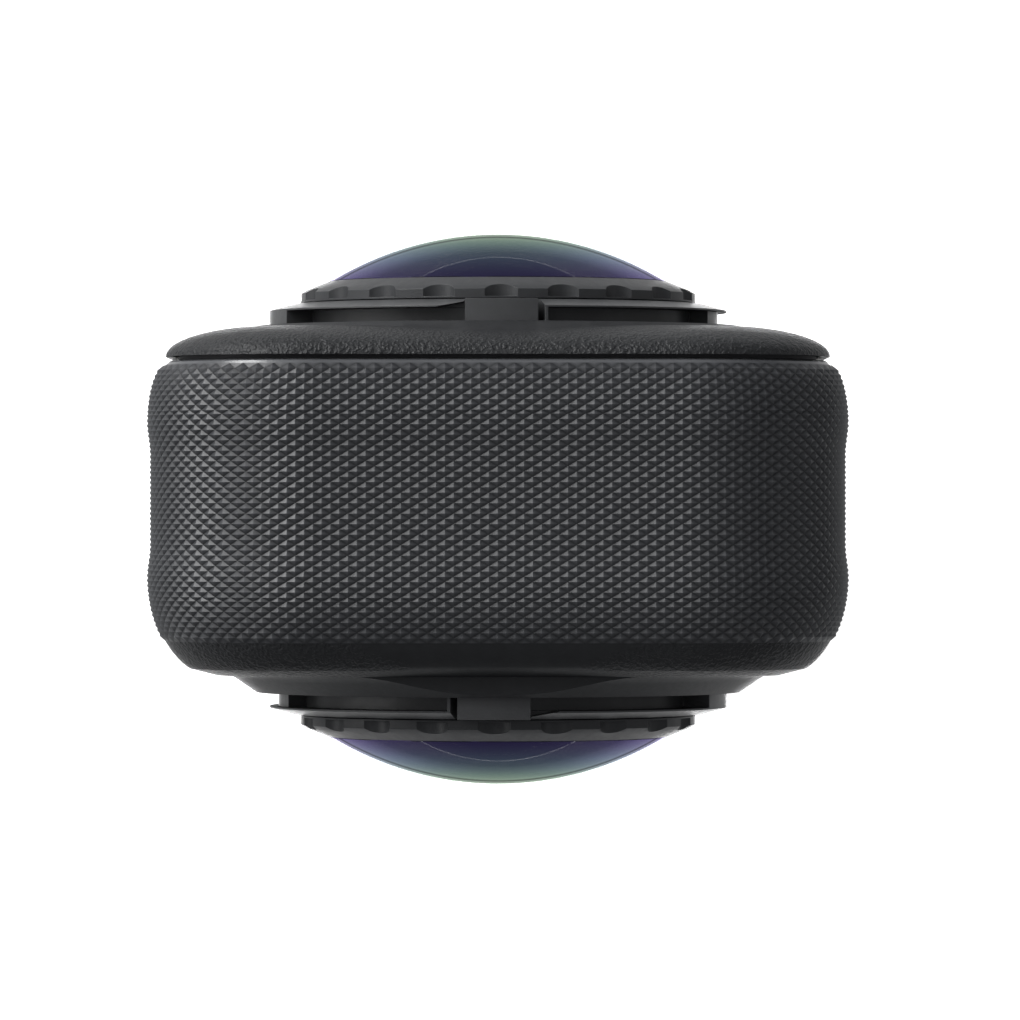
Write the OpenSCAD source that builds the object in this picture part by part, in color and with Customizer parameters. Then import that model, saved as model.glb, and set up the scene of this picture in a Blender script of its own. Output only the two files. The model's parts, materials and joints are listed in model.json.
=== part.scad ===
// Two-lens 360 degree camera: a tall slab body with a domed lens near the top of each broad face.
// X runs across the body, Y from the plain front to the screen at the rear, Z up from the base.
// Y = 0 lies midway between the two lenses.

/* [Body] */
// Width across the side band
body_w = 46; // [45:0.5:50]
// Height from the base to the top end
body_h = 114; // [112:1:124]
// Radius of the four corners of the front outline
corner_r = 11; // [10:0.5:12]
// Depth of the side band from its front edge to its rear edge
band_depth = 18.4; // [18.2:0.1:18.8]
// How far the middle of the band lies behind the plane midway between the lenses
band_shift = 0.6; // [0.4:0.1:0.7]
// Thickness of the band's wall
band_wall = 3.2; // [3:0.1:3.4]
// Depth of the shallow waist that runs round the middle of the band
waist_depth = 0.2; // [0.1:0.05:0.3]
// Thickness of the front and rear covers
cover_t = 1.5; // [1.3:0.1:1.6]
// Distance of the flat rear face from the mid-plane
rear_face = 12.05; // [12:0.05:12.15]
// Distance of the flat front face from the mid-plane
front_face = 10.95; // [10.85:0.05:11.1]
// Open reveal between the band and the rear cover
rear_reveal = 0.24; // [0.15:0.01:0.3]
// Fine parting line between the band and the front cover
front_reveal = 0.08; // [0.05:0.01:0.15]

/* [Lenses] */
// Distance of the lens axis below the top end
lens_drop = 21; // [21:0.5:25]
// Height of the bayonet seat above the mid-plane
lens_seat = 12.3; // [12.2:0.05:12.4]
// Radius of the cone that carries the bayonet, at its seat
plinth_r = 16.3; // [16:0.1:16.5]
// Radius of the fixed bayonet wings
wing_r = 15.4; // [15.2:0.1:15.7]
// Radius of the scalloped lens ring
ring_r = 13.3; // [13:0.1:13.6]
// Height of the scalloped ring
ring_h = 1.45; // [1.4:0.05:1.6]
// Number of finger scallops round the ring
scallops = 20; // [16:1:24]
// Radius of one finger scallop
scallop_r = 1.4; // [1.2:0.1:1.6]
// How deep a scallop bites into the ring
scallop_depth = 0.55; // [0.4:0.05:0.7]
// Spherical radius of the outer dome
dome_r = 21.6; // [21:0.1:22]
// Thickness of the dome
dome_t = 1.2; // [1:0.1:1.5]
// Radius of the dome's edge
dome_edge_r = 11.4; // [11.2:0.1:11.6]
// Height of the dome's tip above the mid-plane
dome_tip = 18.6; // [18.5:0.1:18.9]
// Outer radius of the lens barrel at its front
barrel_r = 9.9; // [9.6:0.1:10]

/* [Screen and buttons] */
// Width of the screen glass
glass_w = 30.8; // [28:0.2:31]
// Gap between the screen glass and the cone of the rear lens
glass_gap = 2.9; // [2:0.1:4]
// Height of the glass's lower edge above the base
glass_z = 24; // [23:0.5:25]
// Thickness of the screen glass
glass_t = 0.8; // [0.6:0.1:0.9]
// Radius of the round buttons below the screen
round_button_r = 4.6; // [4:0.1:5]
// Distance of each round button from the middle
round_button_x = 7.2; // [6.5:0.1:8]
// Height of the round buttons above the base
round_button_z = 14.6; // [14.2:0.1:15]
// Width of the two side buttons
side_button_w = 4.6; // [4:0.1:5]
// Length of the two side buttons
side_button_l = 9.6; // [8:0.1:11]
// Height of the power button's middle above the base
power_button_z = 59; // [57:0.5:61]
// Height of the quick button's middle above the base
quick_button_z = 43; // [40:0.5:45]
// How far a button travels when it is pressed
button_travel = 0.4; // [0.2:0.05:0.5]
// Gap round a button in its hole
button_gap = 0.2; // [0.15:0.05:0.3]

/* [Battery] */
// Room for the switches between the battery pack and the far side of the band
switch_room = 6.25; // [6:0.05:8]
// Height of the battery pack
pack_h = 42; // [38:1:43]
// Thickness of the battery pack
pack_t = 8.8; // [8:0.1:9]
// Height of the battery pack's lower end above the base
pack_z = 25; // [24.5:0.5:26]
// Distance of the pack's front face from the mid-plane
pack_front = 5.4; // [5.2:0.1:5.5]
// How far the battery cover overlaps the pack at its two ends
cover_lap = 2.2; // [2:0.1:2.4]
// Depth of the battery cover, front edge to rear edge
battery_cover_w = 15; // [14.6:0.1:15.2]
// Thickness of the battery cover
battery_cover_t = 1.55; // [1.4:0.05:1.65]
// Gap round the battery pack and its cover
battery_gap = 0.25; // [0.2:0.05:0.3]
// How far the latch slides to lock the battery cover
latch_travel = 1.6; // [1.2:0.1:1.8]

/* [Port door] */
// Height of the port's middle above the base
port_z = 19; // [18.5:0.5:19]
// Length of the port door
door_l = 15; // [14:0.5:15.5]
// Width of the port door
door_w = 8.6; // [8:0.1:8.8]
// Thickness of the port door at its thickest
door_t = 1.8; // [1.6:0.1:1.9]
// Radius of the door's hinge pin
hinge_pin_r = 0.4; // [0.3:0.05:0.45]
// Radius of the knuckle round the hinge pin
knuckle_r = 0.85; // [0.75:0.05:0.9]

/* [Mount] */
// Radius of the tripod thread's wall, for a quarter inch screw
thread_r = 2.6; // [2.5:0.05:2.7]
// Depth of the tripod thread
thread_l = 6.5; // [5.5:0.5:7]
// Radius of the metal insert that holds the thread
insert_r = 4.2; // [3.8:0.1:4.6]

/* [Hidden] */
$fn = 64;
// Planes of the body
half_w = body_w / 2;
lens_z = body_h - lens_drop;
inner_x = half_w - band_wall;
inner_top = body_h - band_wall;
band_rear = band_shift + band_depth / 2;
band_front = band_shift - band_depth / 2;
rear_edge = band_rear + rear_reveal;
front_edge = band_front - front_reveal;
rear_inner = rear_face - cover_t;
front_inner = front_face - cover_t;

// Section of the band: a flat waist, a bulge on each side of it and an elliptical rounding beyond
bulge_at = 5.1;
waist_half = 3;
rear_run = band_depth / 2 - bulge_at;
rear_drop = 1.5;
front_rise = 0.45;
front_arc_end = front_face - front_rise + band_shift - bulge_at;
front_arc_spare = 0.6;
front_run = front_arc_end + front_arc_spare;
front_drop = 4.5;
arc_steps = 6;
waist_steps = 4;

// Section of the covers' borders: an elliptical one at the rear, a rounding and a short slope at the front
border_steps = 10;
border_stop = 0.03;
rear_edge_inset = 1.05;
rear_border_drop = 7;
rear_border_h = rear_face - rear_edge;
rear_border_run = rear_border_h + border_stop;
rear_face_inset = rear_edge_inset + quarter_ellipse(rear_border_h, rear_border_run, rear_border_drop);
front_slope = 0.25;
front_face_inset = quarter_ellipse(front_arc_end, front_run, front_drop) + front_rise / front_slope;
rim_lean = 0.6;
border_lap = 1;
seam_lap = 0.5;

// Gaskets under the covers
gasket_inset = 1.95;
gasket_w = 0.9;
groove_depth = 0.5;

// Stack behind the battery: bay wall, heat spreader, main board
bay_wall = 1;
spreader_t = 0.3;
board_t = 1;
pack_back = pack_t - pack_front;
pack_mid_z = pack_z + pack_h / 2;
pack_r = 1.2;
bay_rear = pack_back + battery_gap + bay_wall;
board_front = bay_rear + spreader_t;
board_rear = board_front + board_t;
board_inset = 1.3;
board_bottom = 9;
board_over = 1;
battery_gasket_t = 0.55;
battery_face = half_w - battery_cover_t;
battery_lip = battery_face - battery_gasket_t;
pack_l = battery_face + inner_x - switch_room;
pack_end = pack_l - battery_face;
contact_l = 0.5;
contact_gap = 0.2;
bay_end = pack_end + contact_gap + contact_l;
switch_seat = bay_end + bay_wall;
battery_cover_h = pack_h + 2 * cover_lap;
battery_cover_r = 2;
battery_cover_top = pack_mid_z + battery_cover_h / 2;

// Latch of the battery cover
latch_y = band_shift + 4;
latch_w = 4;
latch_l = 5;
latch_lip = 0.6;
latch_gap = 0.15;
latch_plate_t = 0.6;
latch_plate_x = battery_face + latch_gap;
latch_drop = 12;
latch_foot = 1;
latch_end_gap = 0.1;
latch_knob_z = battery_cover_top - latch_drop;
latch_plate_l = latch_drop + latch_foot - latch_end_gap;

// Chassis, and the plate that carries both lenses
carrier_t = 2;
carrier_seat = 0.05;
carrier_z = pack_z + pack_h + battery_gap + bay_wall;
leg_x = 11.5;
leg_w = 5;
lug_w = 4.4;
lug_t = 2;
lug_reach = 5.6;
lug_sink = 0.4;
lug_rise = 5;
lug_drop = 10;
lug_places = [for (x = [-1, 1], z = [carrier_z + lug_rise, body_h - lug_drop]) [x, z]];
chassis_screw_r = 0.8;
chassis_head_r = 1.5;
chassis_head_t = 0.9;
screw_slack = 0.02;

// Buttons and their switches
flange_w = 0.7;
flange_t = 0.6;
flange_gap = 0.1;
switch_gap = 0.05;
side_flange = inner_x - flange_gap;
side_inner = side_flange - flange_t;
round_flange = rear_inner - flange_gap;
round_inner = round_flange - flange_t;
button_stand = 0.1;
plunger_r = 1;
plunger_l = 1;

// Port and its door
port_w = 8.9;
port_t = 3.2;
port_l = 7.8;
port_shell = 0.3;
port_y = board_front - port_t / 2;
port_gap = 0.2;
door_floor_gap = 0.3;
door_floor = half_w - door_t - door_floor_gap;
door_gap = 0.2;
hinge_gap = 0.35;
hinge_x = half_w - 1;
hinge_z = port_z - door_l / 2 + knuckle_r;
pin_lap = 0.8;
pin_slack = 0.05;
door_gasket_t = 0.22;
door_gasket_w = 0.9;

// Memory card socket behind the battery cover
card_z = pack_mid_z - 5;
card_w = 11.2;
card_t = 0.8;
socket_l = 15;
socket_w = 14;
socket_t = 1.4;

// Lens parts, measured outwards from the mid-plane along the lens axis
plinth_slope = 1.45;
flare_r = 3;
flare_sink = 0.03;
flare_trim = 0.1;
rear_plinth_foot = 11;
base_h = 1.48;
base_top = lens_seat + base_h;
base_core_r = 13.5;
groove_core_r = base_core_r - 0.15;
base_bore_r = 12;
spigot_r = 12.7;
spigot_l = 1.9;
spigot_end = lens_seat - spigot_l;
base_gap = 0.2;
slot_h = 0.92;
wing_under = lens_seat + slot_h;
wing_edge = 0.12;
wing_tip = wing_under + wing_edge;
wing_top_r = 13.8;
small_block_step = 0.6;
small_block_r = wing_r - small_block_step;
base_screw_r = 0.6;
base_screw_ring = 14.05;
base_screw_angles = [78, 102, 258, 282];
base_screw_cover = 0.22;
base_screw_tip = wing_under - base_screw_cover;
base_head_r = 1.1;
base_head_t = 0.8;
ring_gap = 0.08;
ring_foot = base_top + ring_gap;
ring_top = ring_foot + ring_h;
skirt_gap = 0.05;
skirt_r = base_bore_r - skirt_gap;
skirt_in = 10.4;
skirt_stop = 1;
skirt_end = spigot_end + skirt_stop;
dome_seal_t = 0.2;
seal_inset = 0.05;
ledge_t = 0.1;
dome_ledge = ring_foot + ledge_t;
dome_slack = 0.03;
dome_center = dome_tip - dome_r;
carrier_face = carrier_t / 2;
sensor_board_t = 0.8;
sensor_board_w = 18;
sensor_t = 1;
barrel_foot = carrier_face + sensor_board_t;

// Colours of the finishes
charcoal = "#2e2f31";
graphite = "#3a3b3d";
soft_black = "#1c1c1e";
board_green = "#1d4a34";
steel = "#b9bcc0";
brass = "#c8a75a";
clear_glass = "#6d86a8";
seal_grey = "#55585c";

// Sketch with rounded corners, centred
module rounded_rect(w, h, r) {
    square([w - 2 * r, h], center = true);
    square([w, h - 2 * r], center = true);
    for (x = [-1, 1], y = [-1, 1])
        translate([x * (w / 2 - r), y * (h / 2 - r)]) circle(r);
}

// Front outline of the body, drawn in by an inset
module body_outline(inset) {
    translate([0, body_h / 2])
        rounded_rect(body_w - 2 * inset, body_h - 2 * inset, corner_r - inset);
}

// A sketch in X and Z, extruded from one depth to another
module slab(y0, y1) {
    translate([0, y1, 0]) rotate([90, 0, 0]) linear_extrude(y1 - y0) children();
}

// A sketch in Y and Z, extruded from one place across the body to another
module across(x0, x1) {
    translate([x0, 0, 0]) rotate([90, 0, 90]) linear_extrude(x1 - x0) children();
}

// A box from its lowest to its highest corner
module box(low, high) {
    translate(low) cube(high - low);
}

// Carries a section round the body's outline. The section's x is measured from the corners' centres.
module carried_round() {
    corners = [[1, 1], [-1, 1], [-1, -1], [1, -1]];
    runs = [body_h - 2 * corner_r, body_w - 2 * corner_r];
    for (i = [0:3])
        translate([corners[i][0] * (half_w - corner_r), 0, body_h / 2])
            translate([0, 0, corners[i][1] * (body_h / 2 - corner_r)])
            rotate([90, 0, 0]) rotate([0, 0, 90 * i]) {
                rotate_extrude(angle = 90) mirror([0, 1]) children();
                rotate([90, 0, 0]) linear_extrude(runs[i % 2]) mirror([0, 1]) children();
            }
}

function ease(t) = t <= 0 ? 0 : t >= 1 ? 1 : t * t * (3 - 2 * t);
function quarter_ellipse(s, run, drop) = drop * (1 - sqrt(max(0, 1 - pow(s / run, 2))));

// How far the band's surface lies inside the outline at depth y
function band_inset(y) =
    let (s = abs(y - band_shift))
    s <= bulge_at ? waist_depth * (1 - ease((s - waist_half) / (bulge_at - waist_half)))
    : y > band_shift ? quarter_ellipse(s - bulge_at, rear_run, rear_drop)
    : quarter_ellipse(s - bulge_at, front_run, front_drop);

band_points = concat(
    [for (i = [arc_steps:-1:1]) band_shift - bulge_at - rear_run * i / arc_steps],
    [for (i = [0:waist_steps]) band_shift - bulge_at + (bulge_at - waist_half) * i / waist_steps],
    [for (i = [waist_steps:-1:0]) band_shift + bulge_at - (bulge_at - waist_half) * i / waist_steps],
    [for (i = [1:arc_steps]) band_shift + bulge_at + rear_run * sin(90 * i / arc_steps)]);

// The band before anything is cut out of it
module band_blank() {
    carried_round() polygon(concat(
        [for (y = band_points) [corner_r - band_inset(y), y]],
        [[corner_r - band_wall, band_rear], [corner_r - band_wall, band_front]]));
}

// Outlines in Y and Z of what passes through the band's sides. A pill keeps a sliver of flat at its ends.
pill_flat = 0.01;
module pack_outline(grow) {
    translate([(pack_back - pack_front) / 2, pack_mid_z])
        rounded_rect(pack_t + 2 * grow, pack_h + 2 * grow, pack_r + grow);
}
module battery_cover_outline(grow) {
    translate([band_shift, pack_mid_z])
        rounded_rect(battery_cover_w + 2 * grow, battery_cover_h + 2 * grow, battery_cover_r + grow);
}
module side_button_outline(z, grow) {
    translate([band_shift, z])
        rounded_rect(side_button_w + 2 * grow, side_button_l + 2 * grow,
            side_button_w / 2 + grow - pill_flat);
}
module port_outline(grow) {
    translate([port_y, port_z])
        rounded_rect(port_t + 2 * grow, port_w + 2 * grow, port_t / 2 + grow - pill_flat);
}

// Ring-shaped section of a cover gasket, between two depths
module gasket_section(y0, y1) {
    translate([corner_r - gasket_inset - gasket_w, y0]) square([gasket_w, y1 - y0]);
}

// Side band of the body, with every opening in it
module mid_frame() {
    color(graphite) difference() {
        union() {
            band_blank();
            base_pad();
            insert_boss();
            chassis_lugs();
        }
        carried_round() gasket_section(band_rear - groove_depth, band_rear + seam_lap);
        carried_round() gasket_section(band_front - seam_lap, band_front + groove_depth);
        insert_hole();
        speaker_holes();
        battery_cut();
        side_button_cuts();
        door_cut();
        microphone_holes();
        chassis_screw_shafts(screw_slack);
    }
}

// Flat foot across the waist, on which the camera stands
pad_half = half_w - corner_r;
pad_t = 1;
module base_pad() {
    box([-pad_half, band_shift - bulge_at, 0], [pad_half, band_shift + bulge_at, pad_t]);
}

// Boss and hole for the threaded insert
boss_wall = 1.3;
insert_l = thread_l + 0.5;
module insert_boss() {
    translate([0, band_shift, pad_t / 2]) cylinder(r = insert_r + boss_wall, h = insert_l - pad_t / 2);
}
module insert_hole() {
    translate([0, band_shift, -seam_lap]) cylinder(r = insert_r + screw_slack, h = insert_l + 2 * seam_lap);
}

// Lugs that the lens carrier is screwed to
module chassis_lugs() {
    for (place = lug_places)
        translate([place[0] * (inner_x - (lug_reach - lug_sink) / 2), carrier_face + lug_t / 2, place[1]])
            cube([lug_reach + lug_sink, lug_t, lug_w], center = true);
}
module chassis_screw_shafts(slack) {
    for (place = lug_places)
        translate([place[0] * (inner_x - lug_reach / 2), carrier_face + lug_t, place[1]])
            rotate([90, 0, 0]) cylinder(r = chassis_screw_r + slack, h = lug_t + carrier_t - 0.3);
}

// Sound holes over the speaker and the microphones
speaker_x = insert_r + boss_wall + 3.5;
speaker_l = 5;
speaker_w = 8;
speaker_h = 3.4;
sound_hole_r = 0.45;
microphone_y = band_shift + 4;
microphone_rise = 11.75;
microphone_z = carrier_z + microphone_rise;
module speaker_holes() {
    for (y = [-2.5, 0, 2.5])
        translate([speaker_x, band_shift + y, -seam_lap])
            cylinder(r = sound_hole_r, h = band_wall + 2 * seam_lap);
}
module microphone_holes() {
    translate([-half_w, microphone_y, microphone_z])
        rotate([0, 90, 0]) cylinder(r = sound_hole_r, h = body_w);
}

// Seat of the battery cover, mouth of the battery bay, card slot and the latch's notch
notch_gap = 0.3;
card_gap = 0.1;
module battery_cut() {
    plate_half = latch_w / 2 + latch_lip;
    card_low = board_rear + (socket_t - card_t) / 2 - card_gap;
    across(-half_w - seam_lap, -battery_lip) battery_cover_outline(battery_gap);
    across(-half_w, -inner_x + seam_lap) pack_outline(battery_gap);
    box([-half_w, card_low, card_z - card_w / 2 - card_gap],
        [-inner_x + seam_lap, card_low + card_t + 2 * card_gap, card_z + card_w / 2 + card_gap]);
    box([-latch_plate_x - latch_plate_t - notch_gap, latch_y - plate_half - notch_gap, battery_cover_top],
        [-latch_plate_x + notch_gap, latch_y + plate_half + notch_gap,
         battery_cover_top + battery_gap + latch_travel + notch_gap]);
}

module side_button_cuts() {
    across(inner_x - seam_lap, half_w + seam_lap) {
        side_button_outline(power_button_z, button_gap);
        side_button_outline(quick_button_z, button_gap);
    }
}

// Seat of the port door with its hinge holes, and the port's mouth in its floor
module door_cut() {
    low_y = port_y - door_w / 2 - door_gap;
    low_z = port_z - door_l / 2 - hinge_gap;
    box([door_floor, low_y, low_z],
        [half_w + seam_lap, low_y + door_w + 2 * door_gap, low_z + door_l + hinge_gap + door_gap]);
    across(inner_x - seam_lap, half_w) port_outline(port_gap);
    hinge_pin(pin_lap, screw_slack);
}
module hinge_pin(lap, slack) {
    translate([hinge_x, port_y - door_w / 2 - lap, hinge_z])
        rotate([-90, 0, 0]) cylinder(r = hinge_pin_r + slack, h = door_w + 2 * lap);
}

// Rear cover: an elliptical border round a flat panel, raised to a cone under the bayonet
module rear_cover() {
    border_end = asin(rear_border_h / rear_border_run);
    border_foot = corner_r - rear_edge_inset;
    color(charcoal) difference() {
        union() {
            carried_round() polygon(concat(
                [for (i = [0:border_steps])
                    let (a = border_end * i / border_steps)
                    [border_foot - rear_border_drop * (1 - cos(a)), rear_edge + rear_border_run * sin(a)]],
                [[corner_r - rear_face_inset - border_lap, rear_face],
                 [corner_r - rear_face_inset - border_lap, rear_inner],
                 [corner_r - band_wall - rim_lean, rear_inner],
                 [corner_r - band_wall, rear_edge]]));
            slab(rear_inner, rear_face) body_outline(rear_face_inset + border_lap / 2);
            rear_plinth();
        }
        lens_opening("rear");
        glass_pocket();
        round_button_holes();
    }
}

// Front cover: continues the band's rounding, then slopes to a flat panel that flares into a taller cone
module front_cover() {
    front_arc_start = -front_edge + band_shift - bulge_at;
    color(charcoal) difference() {
        union() {
            carried_round() polygon(concat(
                [for (i = [0:arc_steps])
                    let (s = front_arc_start + (front_arc_end - front_arc_start) * i / arc_steps)
                    [corner_r - quarter_ellipse(s, front_run, front_drop), band_shift - bulge_at - s]],
                [[corner_r - front_face_inset, -front_face],
                 [corner_r - front_face_inset - border_lap, -front_face],
                 [corner_r - front_face_inset - border_lap, -front_inner],
                 [corner_r - band_wall, -front_inner],
                 [corner_r - band_wall, front_edge]]));
            slab(-front_face, -front_inner) body_outline(front_face_inset + border_lap / 2);
            front_plinth();
        }
        lens_opening("front");
        status_light_shape(dome_slack);
    }
}

// Places a lens part: z outwards from the mid-plane, angles from the top of the lens
module on_lens(side) {
    translate([0, 0, lens_z]) rotate([90, 0, side == "rear" ? 180 : 0]) rotate([0, 0, 90]) children();
}

// Cones that carry the bayonets. The front one ends in a hollow flare, trimmed to the flat panel's outline.
function cone_r(height) = plinth_r + plinth_slope * (lens_seat - height);
module rear_plinth() {
    on_lens("rear") translate([0, 0, rear_plinth_foot])
        cylinder(r1 = cone_r(rear_plinth_foot), r2 = plinth_r, h = lens_seat - rear_plinth_foot);
}
module front_plinth() {
    foot = front_face - cover_t / 2;
    low = front_face - flare_sink;
    flare_end = atan(1 / plinth_slope);
    flare_top = low + flare_r * (1 - cos(flare_end));
    flare_foot_r = cone_r(flare_top) + flare_r * sin(flare_end);
    intersection() {
        on_lens("front") rotate_extrude() polygon(concat(
            [[0, foot], [flare_foot_r, foot]],
            [for (i = [0:arc_steps])
                let (a = flare_end * i / arc_steps)
                [flare_foot_r - flare_r * sin(a), low + flare_r * (1 - cos(a))]],
            [[plinth_r, lens_seat], [0, lens_seat]]));
        slab(-lens_seat - seam_lap, -front_inner) body_outline(front_face_inset + flare_trim);
    }
}
module lens_opening(side) {
    on_lens(side) {
        translate([0, 0, spigot_end - 2]) cylinder(r = spigot_r + base_gap, h = lens_seat);
        base_screw_shafts(spigot_end - 2, screw_slack);
    }
}
module base_screw_shafts(z0, slack) {
    for (a = base_screw_angles)
        rotate([0, 0, a]) translate([base_screw_ring, 0, z0])
            cylinder(r = base_screw_r + slack, h = base_screw_tip - z0);
}

// Pocket for the glass with a ledge round the display, and the holes of the round buttons
glass_r = 3.5;
glass_h = lens_z - plinth_r - glass_gap - glass_z;
ledge_w = 1.5;
glass_slack = 0.1;
module glass_outline(grow) {
    translate([0, glass_z + glass_h / 2])
        rounded_rect(glass_w + 2 * grow, glass_h + 2 * grow, glass_r + grow);
}
module glass_pocket() {
    slab(rear_face - glass_t, rear_face + seam_lap) glass_outline(glass_slack);
    slab(rear_inner - seam_lap, rear_face) glass_outline(-ledge_w);
}
module round_button_holes() {
    for (x = [-1, 1])
        slab(rear_inner - seam_lap, rear_face + seam_lap)
            translate([x * round_button_x, round_button_z]) circle(round_button_r + button_gap);
}

// Rubber rings in the band's grooves, pressed by the covers
module rear_cover_gasket() {
    color(seal_grey) carried_round() gasket_section(band_rear - groove_depth, rear_edge);
}
module front_cover_gasket() {
    color(seal_grey) carried_round() gasket_section(front_edge, band_front + groove_depth);
}

// Chassis: a box that guides the battery, a leg to the base and the plate between the two lenses
module inner_chassis() {
    color(steel) difference() {
        union() {
            across(-inner_x, switch_seat)
                pack_outline(battery_gap + bay_wall);
            slab(-carrier_face, carrier_face) intersection() {
                body_outline(band_wall + carrier_seat);
                translate([-half_w, carrier_z - bay_wall / 2]) square([body_w, body_h]);
            }
            box([-leg_x, -carrier_face, band_wall], [-leg_x + leg_w, carrier_face, pack_z]);
        }
        across(-half_w, bay_end) pack_outline(battery_gap);
        chassis_screw_shafts(screw_slack);
    }
}

module chassis_screws() {
    color(steel) {
        chassis_screw_shafts(0);
        for (place = lug_places)
            translate([place[0] * (inner_x - lug_reach / 2), carrier_face + lug_t + chassis_head_t, place[1]])
                rotate([90, 0, 0]) cylinder(r = chassis_head_r, h = chassis_head_t);
    }
}

// Threaded metal insert in the base
module tripod_insert() {
    color(brass) translate([0, band_shift, 0]) difference() {
        cylinder(r = insert_r, h = insert_l);
        translate([0, 0, -seam_lap]) cylinder(r = thread_r, h = thread_l + seam_lap);
    }
}

// Boards and what is soldered to them
board_half = inner_x - board_inset;
module main_board() {
    color(board_green)
        box([-board_half, board_front, board_bottom], [board_half, board_rear, carrier_z + board_over]);
}
processor_x = 6;
processor_rise = 11;
processor_z = pack_mid_z + processor_rise;
processor_w = 12;
processor_t = 1.1;
shield_w = 18;
shield_t = 2;
shield_wall = 0.3;
module processor() {
    half = processor_w / 2;
    color(soft_black) box([processor_x - half, board_rear, processor_z - half],
        [processor_x + half, board_rear + processor_t, processor_z + half]);
}
module processor_shield() {
    half = shield_w / 2;
    inner = half - shield_wall;
    color(steel) difference() {
        box([processor_x - half, board_rear, processor_z - half],
            [processor_x + half, board_rear + shield_t, processor_z + half]);
        box([processor_x - inner, board_rear - seam_lap, processor_z - inner],
            [processor_x + inner, board_rear + shield_t - shield_wall, processor_z + inner]);
    }
}
spreader_inset = 2.5;
module heat_spreader() {
    color("#a0694a") box([-inner_x + spreader_inset, bay_rear, pack_z + 1],
        [switch_seat - 1, board_front, pack_z + pack_h - 1]);
}
module card_socket() {
    mouth = -inner_x + 0.2;
    color(steel) difference() {
        box([mouth, board_rear, card_z - socket_w / 2],
            [mouth + socket_l, board_rear + socket_t, card_z + socket_w / 2]);
        box([mouth - seam_lap, board_rear + (socket_t - card_t) / 2, card_z - card_w / 2],
            [mouth + socket_l - 1, board_rear + (socket_t + card_t) / 2, card_z + card_w / 2]);
    }
}
port_tongue_w = 6.7;
port_tongue_t = 0.7;
module usb_port() {
    color(steel) difference() {
        across(door_floor - port_l, door_floor - 0.1) port_outline(0);
        across(door_floor - port_l + 1.4, door_floor + seam_lap) port_outline(-port_shell);
    }
    color(soft_black)
        box([door_floor - port_l + 1, port_y - port_tongue_t / 2, port_z - port_tongue_w / 2],
            [door_floor - 1, port_y + port_tongue_t / 2, port_z + port_tongue_w / 2]);
}
contact_w = 1.6;
contact_h = 3;
contact_pitch = 3;
module battery_contacts() {
    middle = (pack_back - pack_front) / 2;
    color(brass) for (i = [0:3]) let (z = pack_z + 6 + contact_pitch * 1.3 * i)
        box([bay_end - contact_l, middle - contact_w / 2, z],
            [bay_end, middle + contact_w / 2, z + contact_h]);
}

// Screen: a panel bonded under the glass
display_t = 1.7;
display_inset = 2.2;
module display_panel() {
    color(soft_black) slab(rear_face - glass_t - display_t, rear_face - glass_t)
        glass_outline(-display_inset);
}
module screen_glass() {
    color("#101114") slab(rear_face - glass_t, rear_face) glass_outline(0);
}

module speaker() {
    color(soft_black) box([speaker_x - speaker_l / 2, band_shift - speaker_w / 2, band_wall],
        [speaker_x + speaker_l / 2, band_shift + speaker_w / 2, band_wall + speaker_h]);
}
microphone_w = 3.2;
microphone_t = 1;
module microphones() {
    color(steel) for (x = [-1, 1])
        translate([x * (inner_x - microphone_t / 2), microphone_y, microphone_z])
            cube([microphone_t, microphone_w, microphone_w], center = true);
}
antenna_w = 18;
antenna_inset = 7;
antenna_l = 4;
antenna_t = 0.3;
module antenna() {
    color(brass) box([-antenna_w / 2, band_rear - antenna_inset, inner_top - antenna_t],
        [antenna_w / 2, band_rear - antenna_inset + antenna_l, inner_top]);
}

// Light pipe flush with the front cover
light_r = 0.9;
light_flange_r = 1.7;
light_flange_t = 0.5;
light_drop = 26;
light_z = lens_z - light_drop;
module status_light_shape(slack) {
    translate([0, -front_inner + light_flange_t, light_z]) rotate([90, 0, 0]) {
        cylinder(r = light_r + slack, h = cover_t + light_flange_t);
        cylinder(r = light_flange_r, h = light_flange_t);
    }
}
module status_light() {
    color("white") status_light_shape(0);
}

// Switches behind the buttons, each with its plunger
side_switch_w = 4;
side_plunger_tip = side_inner - button_travel - switch_gap;
module side_switches() {
    color(soft_black) for (z = [power_button_z, quick_button_z]) {
        box([switch_seat, band_shift - side_switch_w / 2, z - side_switch_w / 2],
            [side_plunger_tip - plunger_l, band_shift + side_switch_w / 2, z + side_switch_w / 2]);
        translate([side_plunger_tip - plunger_l, band_shift, z])
            rotate([0, 90, 0]) cylinder(r = plunger_r, h = plunger_l);
    }
}
round_switch_w = 5;
round_plunger_tip = round_inner - button_travel - switch_gap;
module rear_switches() {
    color(soft_black) for (x = [-1, 1]) translate([x * round_button_x, 0, round_button_z]) {
        box([-round_switch_w / 2, board_rear, -round_switch_w / 2],
            [round_switch_w / 2, round_plunger_tip - plunger_l, round_switch_w / 2]);
        translate([0, round_plunger_tip, 0]) rotate([90, 0, 0]) cylinder(r = plunger_r, h = plunger_l);
    }
}

// Side button: a pill in the band with a flange behind the wall
module side_button(z) {
    color(soft_black) {
        across(side_inner, side_flange) side_button_outline(z, flange_w);
        across(side_inner, half_w - waist_depth + button_stand) side_button_outline(z, 0);
    }
}
module power_button() {
    side_button(power_button_z);
}
module quick_button() {
    side_button(quick_button_z);
}

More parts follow.
